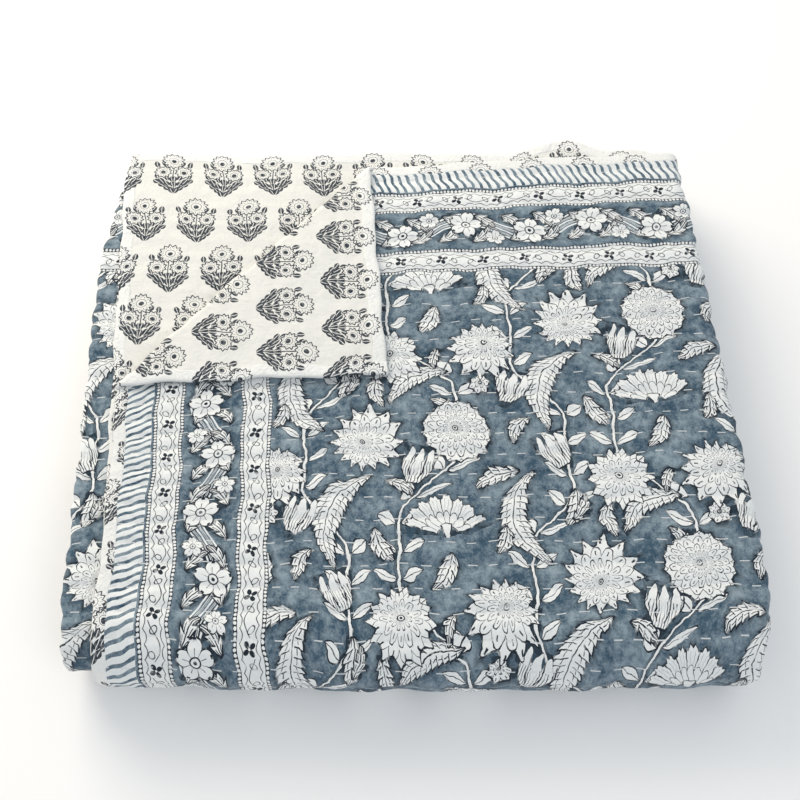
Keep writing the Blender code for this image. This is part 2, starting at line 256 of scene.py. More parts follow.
def crease_for_corner(piece):
    """Cuts the flat piece along the lines where the turned corner rolls over."""
    length = np.linalg.norm(FLAT_OVER)
    normal = (*(FLAT_OVER / length), 0)
    start, step = FLAP_SIDE * FLAT_OVER[1] / length, math.pi * FLAP_BEND / 8 / length
    bm = bmesh.new()
    bm.from_mesh(piece.data)
    for i in range(9):
        point = [n * (start + i * step) for n in normal]
        near = [f for f in bm.faces if f.calc_center_median().x < 0.4 and f.calc_center_median().y < 0.4]
        edges = {e for f in near for e in f.edges}
        verts = {v for e in edges for v in e.verts}
        bmesh.ops.bisect_plane(bm, geom=[*verts, *edges, *near], dist=1e-6, plane_co=point, plane_no=normal)
    bm.to_mesh(piece.data)
    bm.free()


def printed_along(u, v):
    """Where a point lies along the print, which runs straighter over the top layer than its turned hem."""
    still_v = np.clip((TOP_ALONG - v) / (TOP_ALONG - TURN_REACH), 0, 1)
    start = np.maximum(0.03, 0.27 - u)
    end = TURN_REACH + (TOP_ALONG - TURN_REACH) * np.clip(1 - u / 0.27, 0, 1)
    turn = TOP_TURN * np.clip(1 - u / TOP_ACROSS, 0, 1) * still_v
    return v + turn * np.clip((v - start) / (end - start), 0, 1)


def puckers(flat):
    """The stitches draw the cloth in, and it swells between the rows, on the outside of the pile."""
    u, v, w = flat.T
    face = (w > THICK / 4) & (u < TOP_ACROSS + ACROSS[1][0]) & (v < TOP_ALONG + 0.8 * ALONG[1][0])
    face |= (w > THICK / 4) & (np.abs(u - LEFT_FOLD_U) < 0.07) & (v < TOP_ALONG + 0.5 * ALONG[1][0])
    reverse = (w < -THICK / 4) & (v < TOP_ALONG) & ((u > WIDTH - TOP_ACROSS) | (u + v < FLAP_END))
    inside = ease((np.minimum(u, WIDTH - u) - BINDING) / 0.006) * ease((v - BINDING) / 0.006)
    along = printed_along(u, v)
    row = np.rint(along / ROW)
    from_row = np.abs(along - row * ROW) / (ROW / 2)
    along_row = u / STITCH + 0.37 * row + 0.1 * np.sin(9.1 * row)
    pull = np.cos(2 * math.pi * along_row)
    wrinkle = np.sin(2 * math.pi * (u / WRINKLE_EVERY + 0.8 * np.sin(v * 61) + 0.31 * row))
    uneven = np.sin(83 * u + 31 * v) * np.sin(57 * v - 11 * u) - 0.4
    height = FACE_SWELL * np.sin(math.pi / 2 * from_row)
    height = height - FACE_DIP * (1 - from_row) ** 2 * (0.65 + 0.35 * pull)
    height = height + WRINKLE * wrinkle * np.sin(math.pi * from_row) + UNEVEN * uneven
    return np.where(face, height, np.where(reverse, -0.5 * height, 0)) * inside


def print_map(piece, flat):
    """The cloth's own coordinates in metres, as the print was laid on it before it was folded."""
    u, v = flat[:, 0], flat[:, 1]
    mesh = piece.data
    for layer in list(mesh.uv_layers):
        mesh.uv_layers.remove(layer)
    uv = mesh.uv_layers.new(name="cloth")
    corner = np.empty(len(mesh.loops), dtype=np.int32)
    mesh.loops.foreach_get("vertex_index", corner)
    uv.data.foreach_set("uv", np.stack([u, printed_along(u, v)], axis=1)[corner].astype(np.float32).ravel())


def finish_cloth(piece, flat, materials):
    """Folds the flat piece and gives it its print."""
    print_map(piece, flat)
    for material in materials:
        piece.data.materials.append(material)
    put_vertices(piece.data, flat)
    deselect()
    piece.select_set(True)
    bpy.context.view_layer.objects.active = piece
    bpy.ops.object.mode_set(mode="EDIT")
    bpy.ops.mesh.select_all(action="SELECT")
    bpy.ops.mesh.normals_make_consistent(inside=True)
    bpy.ops.object.mode_set(mode="OBJECT")
    shaped = flat.copy()
    shaped[:, 2] += puckers(flat) if len(materials) > 1 else 0
    put_vertices(piece.data, fold(shaped))
    bpy.ops.object.shade_smooth_by_angle(angle=math.radians(50))


def make_quilt(face_print, reverse_print):
    piece, u, v = flat_grid("printed_quilt", ACROSS_LINES, ALONG_LINES)
    put_vertices(piece.data, np.stack([u, v, np.zeros_like(u)], axis=1))
    thicken(piece, THICK, 0)
    crease_for_corner(piece)
    flat = vertex_places(piece.data)
    from_hem = np.minimum.reduce([flat[:, 0], WIDTH - flat[:, 0], flat[:, 1], LENGTH - flat[:, 1]])
    flat[:, 2] *= np.where(from_hem < BINDING + CLEAR / 2, 1 - 2 * EDGE / THICK, 1)
    for face in piece.data.polygons:
        face.material_index = 0 if flat[face.vertices[0], 2] > 0 and flat[face.vertices[2], 2] > 0 else 1
    finish_cloth(piece, flat, [face_print, reverse_print])
    return piece


# A binding's outside from its stitched edge on the face to the hem, then on to its edge on the reverse:
# how far in from the hem, how high
BINDING_HALF = [(0.0124, 0.00215), (0.0121, 0.00252), (0.0110, 0.00262), (0.0075, 0.00252),
                (0.0040, 0.00240), (0.0014, 0.00205), (0.0003, 0.0013)]
BINDING_SECTION = [*BINDING_HALF, (0.0, 0.0), *((deep, -up) for deep, up in reversed(BINDING_HALF))]


def make_binding(name, cloth, along, side, far):
    """A strip of the reverse's cloth folded over a hem: side is 0 for a side hem and 1 for an end hem."""
    piece, k, t = flat_grid(name, range(len(BINDING_SECTION)), along)
    section = np.array(BINDING_SECTION)[np.rint(k).astype(int)]
    uneven = 0.00035 * np.sin(t * 97 + 1.3 * side) * np.sin(t * 41) * (section[:, 0] > 0.009)
    size = LENGTH if side else WIDTH
    out = section[:, 0] + uneven
    out = size - out if far else out
    put_vertices(piece.data, np.stack([t, out, section[:, 1]] if side else [out, t, section[:, 1]], axis=1))
    outward = 1 if bool(side) == bool(far) else -1
    thicken(piece, BINDING_CLOTH * 0.8, outward)
    if not far:
        crease_for_corner(piece)
    finish_cloth(piece, vertex_places(piece.data), [cloth])
    return piece


class Term:
    """A value in a node tree that can be added, multiplied and so on."""

    def __init__(self, board, socket):
        self.board, self.socket = board, socket

    def __add__(self, other):
        return self.board.sum("ADD", self, other)

    __radd__ = __add__

    def __sub__(self, other):
        return self.board.sum("SUBTRACT", self, other)

    def __rsub__(self, other):
        return self.board.sum("SUBTRACT", other, self)

    def __mul__(self, other):
        return self.board.sum("MULTIPLY", self, other)

    __rmul__ = __mul__

    def __truediv__(self, other):
        return self.board.sum("DIVIDE", self, other)

    def __rtruediv__(self, other):
        return self.board.sum("DIVIDE", other, self)

    def __abs__(self):
        return self.board.sum("ABSOLUTE", self)


class Board:
    """A node group, or a material's tree, on which a pattern is drawn."""

    def __init__(self, tree):
        self.tree = tree

    @classmethod
    def group(cls, name, inputs, outputs):
        board = cls(bpy.data.node_groups.new(name, "ShaderNodeTree"))
        for label, value in inputs.items():
            kind = "NodeSocketVector" if isinstance(value, tuple) else "NodeSocketFloat"
            socket = board.tree.interface.new_socket(name=label, in_out="INPUT", socket_type=kind)
            socket.default_value = value
        for label in outputs:
            board.tree.interface.new_socket(name=label, in_out="OUTPUT", socket_type="NodeSocketFloat")
        given = board.tree.nodes.new("NodeGroupInput")
        board.given = {label: Term(board, given.outputs[label]) for label in inputs}
        board.result = board.tree.nodes.new("NodeGroupOutput")
        return board

    def give(self, label, value):
        self.join(value, self.result.inputs[label])

    def join(self, value, socket):
        if isinstance(value, Term):
            self.tree.links.new(value.socket, socket)
        else:
            socket.default_value = value

    def node(self, kind, **settings):
        made = self.tree.nodes.new(kind)
        for key, value in settings.items():
            setattr(made, key, value)
        return made

    def sum(self, operation, *values):
        made = self.node("ShaderNodeMath", operation=operation)
        for value, socket in zip(values, made.inputs):
            self.join(value, socket)
        return Term(self, made.outputs[0])

    def split(self, vector):
        made = self.node("ShaderNodeSeparateXYZ")
        self.join(vector, made.inputs[0])
        return Term(self, made.outputs[0]), Term(self, made.outputs[1])

    def pair(self, x, y):
        made = self.node("ShaderNodeCombineXYZ")
        self.join(x, made.inputs[0])
        self.join(y, made.inputs[1])
        return Term(self, made.outputs[0])

    def turned(self, vector, degrees=0, at=(0, 0)):
        """The same point as seen from a motif at a place, turned by some degrees."""
        made = self.node("ShaderNodeMapping", vector_type="TEXTURE")
        self.join(vector, made.inputs["Vector"])
        made.inputs["Location"].default_value = (*at, 0)
        made.inputs["Rotation"].default_value = (0, 0, math.radians(degrees))
        return Term(self, made.outputs[0])

    def distance(self, vector):
        made = self.node("ShaderNodeVectorMath", operation="LENGTH")
        self.join(vector, made.inputs[0])
        return Term(self, made.outputs["Value"])

    def angle(self, y, x):
        return self.sum("ARCTAN2", y, x)

    def part(self, value):
        return self.sum("FRACT", value)

    def whole(self, value):
        return self.sum("FLOOR", value)

    def less(self, a, b):
        return self.sum("LESS_THAN", a, b)

    def more(self, a, b):
        return self.sum("GREATER_THAN", a, b)

    def near(self, a, b, by):
        return self.sum("COMPARE", a, b, by)

    def either(self, *values):
        found = values[0]
        for value in values[1:]:
            found = self.sum("MAXIMUM", found, value)
        return found

    def both(self, *values):
        found = values[0]
        for value in values[1:]:
            found = self.sum("MULTIPLY", found, value)
        return found

    def sine(self, value):
        return self.sum("SINE", value)

    def noise(self, vector, scale, detail=2.0, colour=False):
        made = self.node("ShaderNodeTexNoise", noise_dimensions="2D")
        self.join(vector, made.inputs["Vector"])
        made.inputs["Scale"].default_value = scale
        made.inputs["Detail"].default_value = detail
        return Term(self, made.outputs["Color" if colour else "Fac"])

    def use(self, group, **values):
        made = self.node("ShaderNodeGroup", node_tree=group.tree)
        for label, value in values.items():
            self.join(value, made.inputs[label.replace("_", " ")])
        outputs = [Term(self, out) for out in made.outputs]
        return outputs if len(outputs) > 1 else outputs[0]

    def over(self, below, motif):
        """Prints a motif's tone over what is below: 0 is ground, 1 reserved white, 2 ink."""
        return self.sum("MULTIPLY_ADD", below, 1 - self.sum("MINIMUM", motif, 1.0), motif)


REPEAT = (200.0, 262.0)  # the field's block print, in mm, each column dropped by half
LINE = 0.78  # half the width of a drawn outline

# The border along a hem, in mm from the hem in: its stripes, its two white bands and the blue one between
STRIPE_EVERY, STRIPE_SHARE, STRIPES_DEEP, STRIPE_GROUND_DEEP = 8.4, 0.39, 38.4, 40.6
BAND_MIDDLE, BAND_STEP, BAND_HALF, BAND_SPRIG_EVERY = 54.4, 82.2, 14.2, 41.0
BEAD_EVERY, BEAD_FROM_MIDDLE = 3.6, 12.4
BLUE_MIDDLE, BLUE_HALF, FLOWER_EVERY = 95.5, 26.9, 64.0
BORDER_DEEP = 151.0

# The reverse's sprigs: from one row to the next, and from one to the next in a row
SPRIG_ROW, SPRIG_EVERY = 61.0, 53.5


def draw_place():
    """The nearest copy of a motif that stands at Across, Along in every repeat: the cloth as seen from it."""
    b = Board.group("field_place", {"Cloth": (0, 0, 0), "Across": 0.0, "Along": 0.0}, ())
    b.tree.interface.new_socket(name="Spot", in_out="OUTPUT", socket_type="NodeSocketVector")
    g = b.given
    x, y = b.split(g["Cloth"])
    x = x - g["Across"]
    column = b.whole(x / REPEAT[0] + 0.5)
    y = b.sum("WRAP", y - g["Along"] + column * (REPEAT[1] / 2), REPEAT[1] / 2, -REPEAT[1] / 2)
    b.give("Spot", b.pair(x - column * REPEAT[0], y))
    return b


def reserved(b, inside, ink, halo):
    """White where the block leaves the cloth bare, its ink lines, and the darker pool of dye around it."""
    halo = b.sum("MINIMUM", b.sum("MAXIMUM", halo, 0.0), 1.0)
    return b.both(inside, 1 + ink + halo) - halo


def draw_head():
    """A flower head of rings of outlined petals. Nod moves its heart down, as if seen from the side."""
    b = Board.group("petalled_head", {"Spot": (0, 0, 0), "Reach": 30.0, "Petals": 16.0, "Points": 0.15,
                                      "Ring": 6.0, "Core": 5.0, "Nod": 0.0}, ["Tone"])
    g = b.given
    x, y = b.split(g["Spot"])
    r = b.distance(g["Spot"]) + g["Nod"] * y
    turn = b.angle(y, x) * (g["Petals"] / (2 * math.pi))
    edge = g["Reach"] * (1 - g["Points"] * abs(b.sine(turn * math.pi)))
    ring = r / g["Ring"]
    lift = b.part(ring)
    stagger = b.part(turn + b.whole(ring) * 0.5 + b.sine(b.whole(ring) * 2.3 + turn * 0.8) * 0.09) - 0.5
    lines = b.near(lift, 1 - stagger * stagger * 3.4, 0.56 / g["Ring"])
    veins = b.both(b.near(stagger, 0.0, 0.05), b.near(lift, 0.45, 0.2))
    middle = b.either(b.near(r, g["Core"], 0.5), b.less(r, g["Core"] * 0.45))
    ink = b.either(b.both(b.either(lines, veins), b.more(r, g["Core"])), b.near(r, edge, LINE), middle)
    b.give("Tone", reserved(b, b.less(r, edge + LINE), ink, (edge + 7 - r) / 6))
    return b


def draw_leaf():
    """A leaf from its foot along +X: bent like a crescent, toothed, with its rib and veins in ink."""
    b = Board.group("leaf", {"Spot": (0, 0, 0), "Long": 60.0, "Wide": 9.0, "Bend": 12.0, "Teeth": 9.0,
                             "Bite": 0.3}, ["Tone"])
    g = b.given
    x, y = b.split(g["Spot"])
    s = x / g["Long"]
    swell = b.sum("MAXIMUM", s * (1 - s) * 4, 0.0)
    lean = y - g["Bend"] * swell
    off = abs(lean)
    tooth = b.part(s * g["Teeth"] + off * 0.07)
    half = g["Wide"] * b.sum("POWER", swell, 0.7) * (1 - g["Bite"] * tooth)
    scale = b.both(b.near(off, half * 0.55, 0.4), b.more(tooth, 0.35))
    ink = b.either(b.near(off, half, LINE), b.less(off, 0.5), scale,
                   b.both(b.less(tooth, 0.15), b.more(off, half * 0.2)))
    inside = b.both(b.less(off, half + LINE), b.more(swell, 0.0))
    b.give("Tone", reserved(b, inside, ink, b.both(half + 6 - off, b.more(swell, 0.0)) / 6))
    return b


def draw_tulip():
    """A tulip of Tall, standing on its foot along +Y, with pointed petals and streaks."""
    b = Board.group("tulip", {"Spot": (0, 0, 0), "Tall": 36.0}, ["Tone"])
    g = b.given
    x, y = b.split(g["Spot"])
    s, across = y / g["Tall"], abs(x / g["Tall"])
    half = b.sine(s * 1.75 + 0.30) * 0.42
    top = 0.62 + 0.38 * abs(b.sum("COSINE", across * 12.5))
    inside = b.both(b.less(across, half + 0.015), b.less(s, top + 0.015), b.more(s, -0.01))
    petals = b.both(b.near(across, half * 0.42, 0.016), b.more(s, 0.12))
    streaks = b.both(b.near(b.part(across * 15), 0.5, 0.14), b.less(s, 0.62), b.more(across, half * 0.1))
    ink = b.either(b.near(across, half, 0.018), b.near(s, top, 0.02), petals, streaks, b.less(s, 0.03))
    halo = b.both((half + 0.17 - across) * 7, b.near(s, 0.45, 0.6))
    b.give("Tone", reserved(b, inside, ink, halo))
    return b


def draw_fan_flower():
    """A pink seen from the side: a fan of pinked petals over its calyx, along +Y."""
    b = Board.group("fan_flower", {"Spot": (0, 0, 0), "Tall": 40.0}, ["Tone"])
    g = b.given
    x, y = b.split(g["Spot"])
    r = b.distance(g["Spot"]) / g["Tall"]
    lean = b.angle(x, y)
    petal = b.part(lean * 3.2)
    tooth = abs(b.part(lean * 9.6) - 0.5)
    bow = abs(petal - 0.5)
    rim, inner = 1.02 - 0.5 * bow * bow + 0.12 * tooth, 0.66 - 0.6 * bow * bow
    fan = b.both(b.less(abs(lean), 1.2), b.more(r, 0.24), b.less(r, rim + 0.015))
    rays = b.both(b.near(bow, 0.5, 0.05), b.more(r, 0.3))
    fine = b.both(b.near(b.part(lean * 9.6), 0.0, 0.06), b.near(r, 0.82, 0.13))
    fan_ink = b.either(b.near(r, rim, 0.017), b.near(r, inner, 0.013), rays, fine,
                       b.near(abs(lean), 1.19, 0.03), b.near(r, 0.26, 0.014))
    cup = b.both(b.less(abs(x) / g["Tall"], 0.05 + 0.36 * r), b.less(r, 0.34), b.more(y, 0.0))
    cup_ink = b.either(b.more(abs(x) / g["Tall"], 0.03 + 0.32 * r), b.near(r, 0.33, 0.014))
    halo = b.both((rim + 0.15 - r) * 6, b.less(abs(lean), 1.4))
    b.give("Tone", b.over(reserved(b, fan, fan_ink, halo), b.both(cup, 1 + cup_ink)))
    return b


def draw_vine():
    """A thin stem that sways up each column, with a pair of small leaves at each step."""
    b = Board.group("field_vine", {"Spot": (0, 0, 0), "Sway": 34.0, "Step": 26.0}, ["Tone"])
    g = b.given
    x, y = b.split(g["Spot"])
    off = x - b.sine(y * (2 * math.pi / REPEAT[1])) * g["Sway"] - b.sine(y * (6 * math.pi / REPEAT[1])) * 6
    far = abs(off)
    stem = b.less(far, 1.9) * (1 + b.near(far, 1.6, 0.45))
    along = b.part(y / g["Step"] - far * 0.022) * g["Step"]
    s = b.sum("MAXIMUM", (far - 2) * (22 - far) / 100, 0.0)
    half = s * 5.6
    at = abs(along - g["Step"] / 2)
    leaf = b.both(b.less(at, half + 0.5), b.more(s, 0.0))
    leaf = leaf * (1 + b.either(b.near(at, half, 0.6), b.less(at, 0.4)))
    pool = b.both(b.less(far, 4.2), 1 - b.less(far, 1.9), 1 - b.more(leaf, 0.0))
    b.give("Tone", b.over(leaf, stem) - pool * 0.6)
    return b


def draw_five_petals():
    """A small open flower of five notched petals."""
    b = Board.group("five_petals", {"Spot": (0, 0, 0), "Reach": 15.0}, ["Tone"])
    g = b.given
    x, y = b.split(g["Spot"])
    r = b.distance(g["Spot"]) / g["Reach"]
    turn = b.angle(y, x) * (2.5 / math.pi)
    lobe = abs(b.sine(turn * math.pi))
    edge = 0.52 + 0.46 * b.sum("POWER", lobe, 0.6) - 0.10 * b.more(lobe, 0.97)
    ink = b.either(b.near(r, edge, 0.045), b.near(r, 0.24, 0.035), b.less(r, 0.09),
                   b.both(b.near(b.part(turn * 2), 0.0, 0.10), b.near(r, 0.42, 0.18)),
                   b.both(b.near(b.part(turn), 0.0, 0.04), b.more(r, 0.24)))
    b.give("Tone", reserved(b, b.less(r, edge + 0.045), ink, (edge + 0.4 - r) * 3))
    return b


def draw_border(five, leaf):
    """The print along a hem, Deep in from it: stripes, a white band, a blue band of flowers, a white band."""
    b = Board.group("hem_border", {"Deep": 0.0, "Along": 0.0}, ["Tone", "Inside", "Stripe"])
    g = b.given
    deep, along = g["Deep"], g["Along"]
    # Slanting, slightly waved stripes next to the binding
    slant = b.part(along / STRIPE_EVERY + deep * 0.045 + b.sine(deep * 0.40 + 0.6) * 0.055)
    stripe = b.both(b.less(slant, STRIPE_SHARE), b.less(deep, STRIPES_DEEP))
    stripe = b.either(stripe, b.near(deep, STRIPES_DEEP + 1.0, 0.9))
    # Two white bands: a row of beads along each edge, dark four-leaved sprigs and scrolls between
    second = b.more(deep, 100.0)
    band = deep - (BAND_MIDDLE + BAND_STEP * second)
    rim = abs(band)
    bead = b.distance(b.pair((b.part(along / BEAD_EVERY) - 0.5) * BEAD_EVERY, rim - BEAD_FROM_MIDDLE))
    rails = b.both(b.near(rim, BEAD_FROM_MIDDLE, 1.9), b.more(bead, 1.35))
    place = b.part(along / BAND_SPRIG_EVERY + second * 0.45) * BAND_SPRIG_EVERY - BAND_SPRIG_EVERY / 2
    r = b.distance(b.pair(place, band))
    four = b.both(b.less(r, 1.2 + 5.0 * abs(b.sine(b.angle(band, place) * 2 + 0.6))), b.more(r, 1.0))
    sway = b.sine(along * 0.153 + 1.2) * 4.4
    curl = b.near(b.distance(b.pair(abs(place) - 12.5, band + sway * 0.8)), 2.7, 0.40)
    flame = b.near(rim, 8.2 - abs(b.sine(along * 0.30 + second)) * 2.2, 0.38)
    line = b.both(b.either(b.near(band, sway, 0.42), curl), b.more(r, 7.4))
    bands = b.less(rim, BAND_HALF) * (1 + b.either(rails, four, line, flame))
    # The blue band between them, with open flowers on alternate sides, fronds that sweep between, and leaves
    run = deep - BLUE_MIDDLE
    half_step = FLOWER_EVERY / 2
    side = b.more(b.part(along / (2 * FLOWER_EVERY)), 0.5) * 2 - 1
    step = b.part(along / FLOWER_EVERY) * FLOWER_EVERY - half_step
    flower = b.use(five, Spot=b.pair(step, run - side * 6.5), Reach=17.5)
    small = b.part(along / FLOWER_EVERY + 0.5) * FLOWER_EVERY - half_step
    other = b.more(b.part(along / (2 * FLOWER_EVERY) + 0.25), 0.5) * 2 - 1
    bud = b.use(five, Spot=b.pair(small - 4.0, run + other * 13.0), Reach=10.5)
    sweep = run + b.sine(along * (math.pi / FLOWER_EVERY)) * 13.0
    far = abs(sweep)
    fronds = b.both(b.less(far, 9.2), b.less(b.part(far / 3.7 + 0.25), 0.50)) * (1 + b.near(far, 3.6, 0.35))
    foot = b.part(along / half_step) * half_step - 5.0
    first = b.use(leaf, Spot=b.turned(b.pair(foot, run * side), 40, (-3, 0)), Long=27.0, Wide=7.0, Bend=3.0,
                  Teeth=3.0, Bite=0.45)
    lower = b.use(leaf, Spot=b.turned(b.pair(foot, run * side), -44, (3, 1)), Long=27.0, Wide=7.0, Bend=-3.0,
                  Teeth=3.0, Bite=0.45)
    blue = b.over(b.over(b.over(b.over(fronds, first), lower), bud), flower)
    blue = b.both(blue, b.near(run, 0.0, BLUE_HALF))
    b.give("Tone", bands + blue)
    b.give("Inside", b.less(deep, BORDER_DEEP))
    b.give("Stripe", stripe)
    return b


# The sprig's dark leaves on one side of its stem: foot, turn, length, half width
SPRIG_LEAVES = [
    ((0.3, -29), 66, 10, 2.6), ((0.6, -21), 82, 9, 2.4), ((3.4, -25), 52, 9, 2.6), ((4.2, -19), 66, 9, 2.6),
    ((0.8, -13), 82, 8, 2.4), ((7.6, -20), 44, 9, 2.6), ((8.4, -15), 58, 9, 2.6), ((4.6, -11), 70, 7, 2.3),
    ((12.6, -14), 42, 8, 2.5), ((13.4, -9), 66, 9, 2.3), ((15.5, 7), 82, 9, 2.6), ((6, 9), 50, 9, 2.5),
]


def draw_sprig():
    """The reverse's sprig, in ink on cream, standing along +Y: three daisies over a sheaf of dark leaves."""
    b = Board.group("sprig", {"Spot": (0, 0, 0)}, ["Ink"])
    x, y = b.split(b.given["Spot"])
    side = abs(x)

    def daisy(dx, dy, reach, petals):
        r = b.distance(b.pair(dx, dy))
        turn = b.angle(dy, dx) * (petals / (2 * math.pi))
        jag = abs(b.part(turn) - 0.5)
        edge = reach * (0.76 + 0.48 * jag)
        rays = b.both(b.near(jag, 0.5, 0.05), b.near(r, reach * 0.66, reach * 0.10))
        heart = b.less(r + dy * 0.25, 2.2)
        lines = b.either(b.near(r, edge, 0.70), heart, rays, b.near(r, reach * 0.42, 0.22))
        return b.less(r, edge + 0.7), lines

    top_in, top = daisy(x, y - 17.0, 10.8, 13.0)
    side_in, sides = daisy(side - 10.0, y - 1.0, 8.4, 11.0)
    # Dark leaves, each with a pale rib, on both sides of the stem
    half = b.pair(side, y)
    leaves = b.both(b.less(side, 0.5), b.near(y, -10.0, 18.0))
    for at, degrees, long, wide in SPRIG_LEAVES:
        along, off = b.split(b.turned(half, degrees, at))
        share = along / long
        off = abs(off)
        shape = b.less(off, share * (1 - share) * (4 * wide))
        leaves = b.either(leaves, b.both(shape, b.more(off, 0.30)))
    free = 1 - b.either(top_in, side_in)
    b.give("Ink", b.either(b.both(leaves, free), sides * (1 - top_in), top))
    return b


def draw_stitches():
    """The running stitches: Thread is the thread that shows, Pull how far it draws the cloth in."""
    b = Board.group("running_stitches", {"Cloth": (0, 0, 0)}, ["Thread", "Pull"])
    x, y = b.split(b.given["Cloth"])
    pitch = ROW * 1000
    row = b.whole(y / pitch + 0.5)
    off = abs(y - row * pitch + b.sine(x * 0.083 + row * 1.7) * 0.6)
    along = x / (STITCH * 1000) + row * 0.37 + b.sine(row * 9.1) * 0.1
    along = b.part(along + b.sine(x * 0.05 + row * 2.9) * 0.12)
    b.give("Thread", b.both(b.less(off, 0.48), b.less(along, 0.44)))
    b.give("Pull", b.sum("MAXIMUM", 1 - off / 6.0, 0.0) * (0.35 + 0.65 * b.less(along, 0.48)))
    return b


def draw_weave():
    """Plain weave: the height of crossing threads, 0.6 mm apart."""
    b = Board.group("plain_weave", {"Cloth": (0, 0, 0)}, ["Height"])
    x, y = b.split(b.given["Cloth"])
    b.give("Height", b.sine(x * 10.5) * b.sine(y * 10.5) * 0.5 + 0.5)
    return b


place, head, leaf, tulip = draw_place(), draw_head(), draw_leaf(), draw_tulip()
fan_flower, field_vine, five_petals = draw_fan_flower(), draw_vine(), draw_five_petals()
border, sprig, stitches, weave = draw_border(five_petals, leaf), draw_sprig(), draw_stitches(), draw_weave()

GROUND_DARK, GROUND_PALE = (0.040, 0.084, 0.128, 1), (0.266, 0.338, 0.388, 1)
POOL = (0.022, 0.040, 0.058, 1)
OUTLINE = (0.012, 0.020, 0.032, 1)
WHITE_COTTON = (0.790, 0.815, 0.815, 1)
CREAM_COTTON = (0.760, 0.762, 0.730, 1)
# The binding's cotton is the reverse's cream made brighter: painted light that lifts the shade the binding
# lies in at the sides of the pile.
BINDING_COTTON_BRIGHTENED_FOR_SHADE = (0.820, 0.830, 0.815, 1)
SPRIG_INK = (0.030, 0.040, 0.055, 1)
THREAD = (0.74, 0.77, 0.78, 1)
PAPER = (0.93, 0.93, 0.93, 1)


def cloth_material(name):
    """A matt cotton whose pattern is drawn on the cloth's coordinates in mm, a little unsteady as by hand."""
    made = bpy.data.materials.new(name)
    made.use_nodes = True
    board = Board(made.node_tree)
    board.shader = made.node_tree.nodes["Principled BSDF"]
    for label, value in (("Roughness", 0.92), ("Metallic", 0.0), ("Specular IOR Level", 0.15),
                         ("Sheen Weight", 0.10), ("Sheen Roughness", 0.6)):
        board.shader.inputs[label].default_value = value
    uv = board.node("ShaderNodeUVMap", uv_map="cloth")
    scale = board.node("ShaderNodeVectorMath", operation="SCALE")
    board.join(Term(board, uv.outputs[0]), scale.inputs[0])
    scale.inputs["Scale"].default_value = 1000.0
    board.cloth = Term(board, scale.outputs[0])
    drift = board.noise(board.cloth, 0.060, 3.0, colour=True)

    def by_hand(far):
        shake = board.node("ShaderNodeVectorMath", operation="MULTIPLY_ADD")
        board.join(drift, shake.inputs[0])
        shake.inputs[1].default_value = (far, far, 0)
        board.join(board.cloth, shake.inputs[2])
        return Term(board, shake.outputs[0])

    board.hand, board.steady = by_hand(6.5), by_hand(2.6)
    return board, made


def mixed(board, share, a, b):
    """A colour between a and b, each a colour or a term."""
    made = board.node("ShaderNodeMix", data_type="RGBA")
    board.join(share, made.inputs[0])
    board.join(a, made.inputs[6])
    board.join(b, made.inputs[7])
    return Term(board, made.outputs[2])


def limited(board, value):
    return board.sum("MINIMUM", board.sum("MAXIMUM", value, 0.0), 1.0)


def raise_cloth(board, height, far):
    """Bumps the cloth by a height, where 1 is far in metres."""
    bump = board.node("ShaderNodeBump")
    bump.inputs["Strength"].default_value = 1.0
    bump.inputs["Distance"].default_value = far
    board.join(height, bump.inputs["Height"])
    board.join(Term(board, bump.outputs[0]), board.shader.inputs["Normal"])


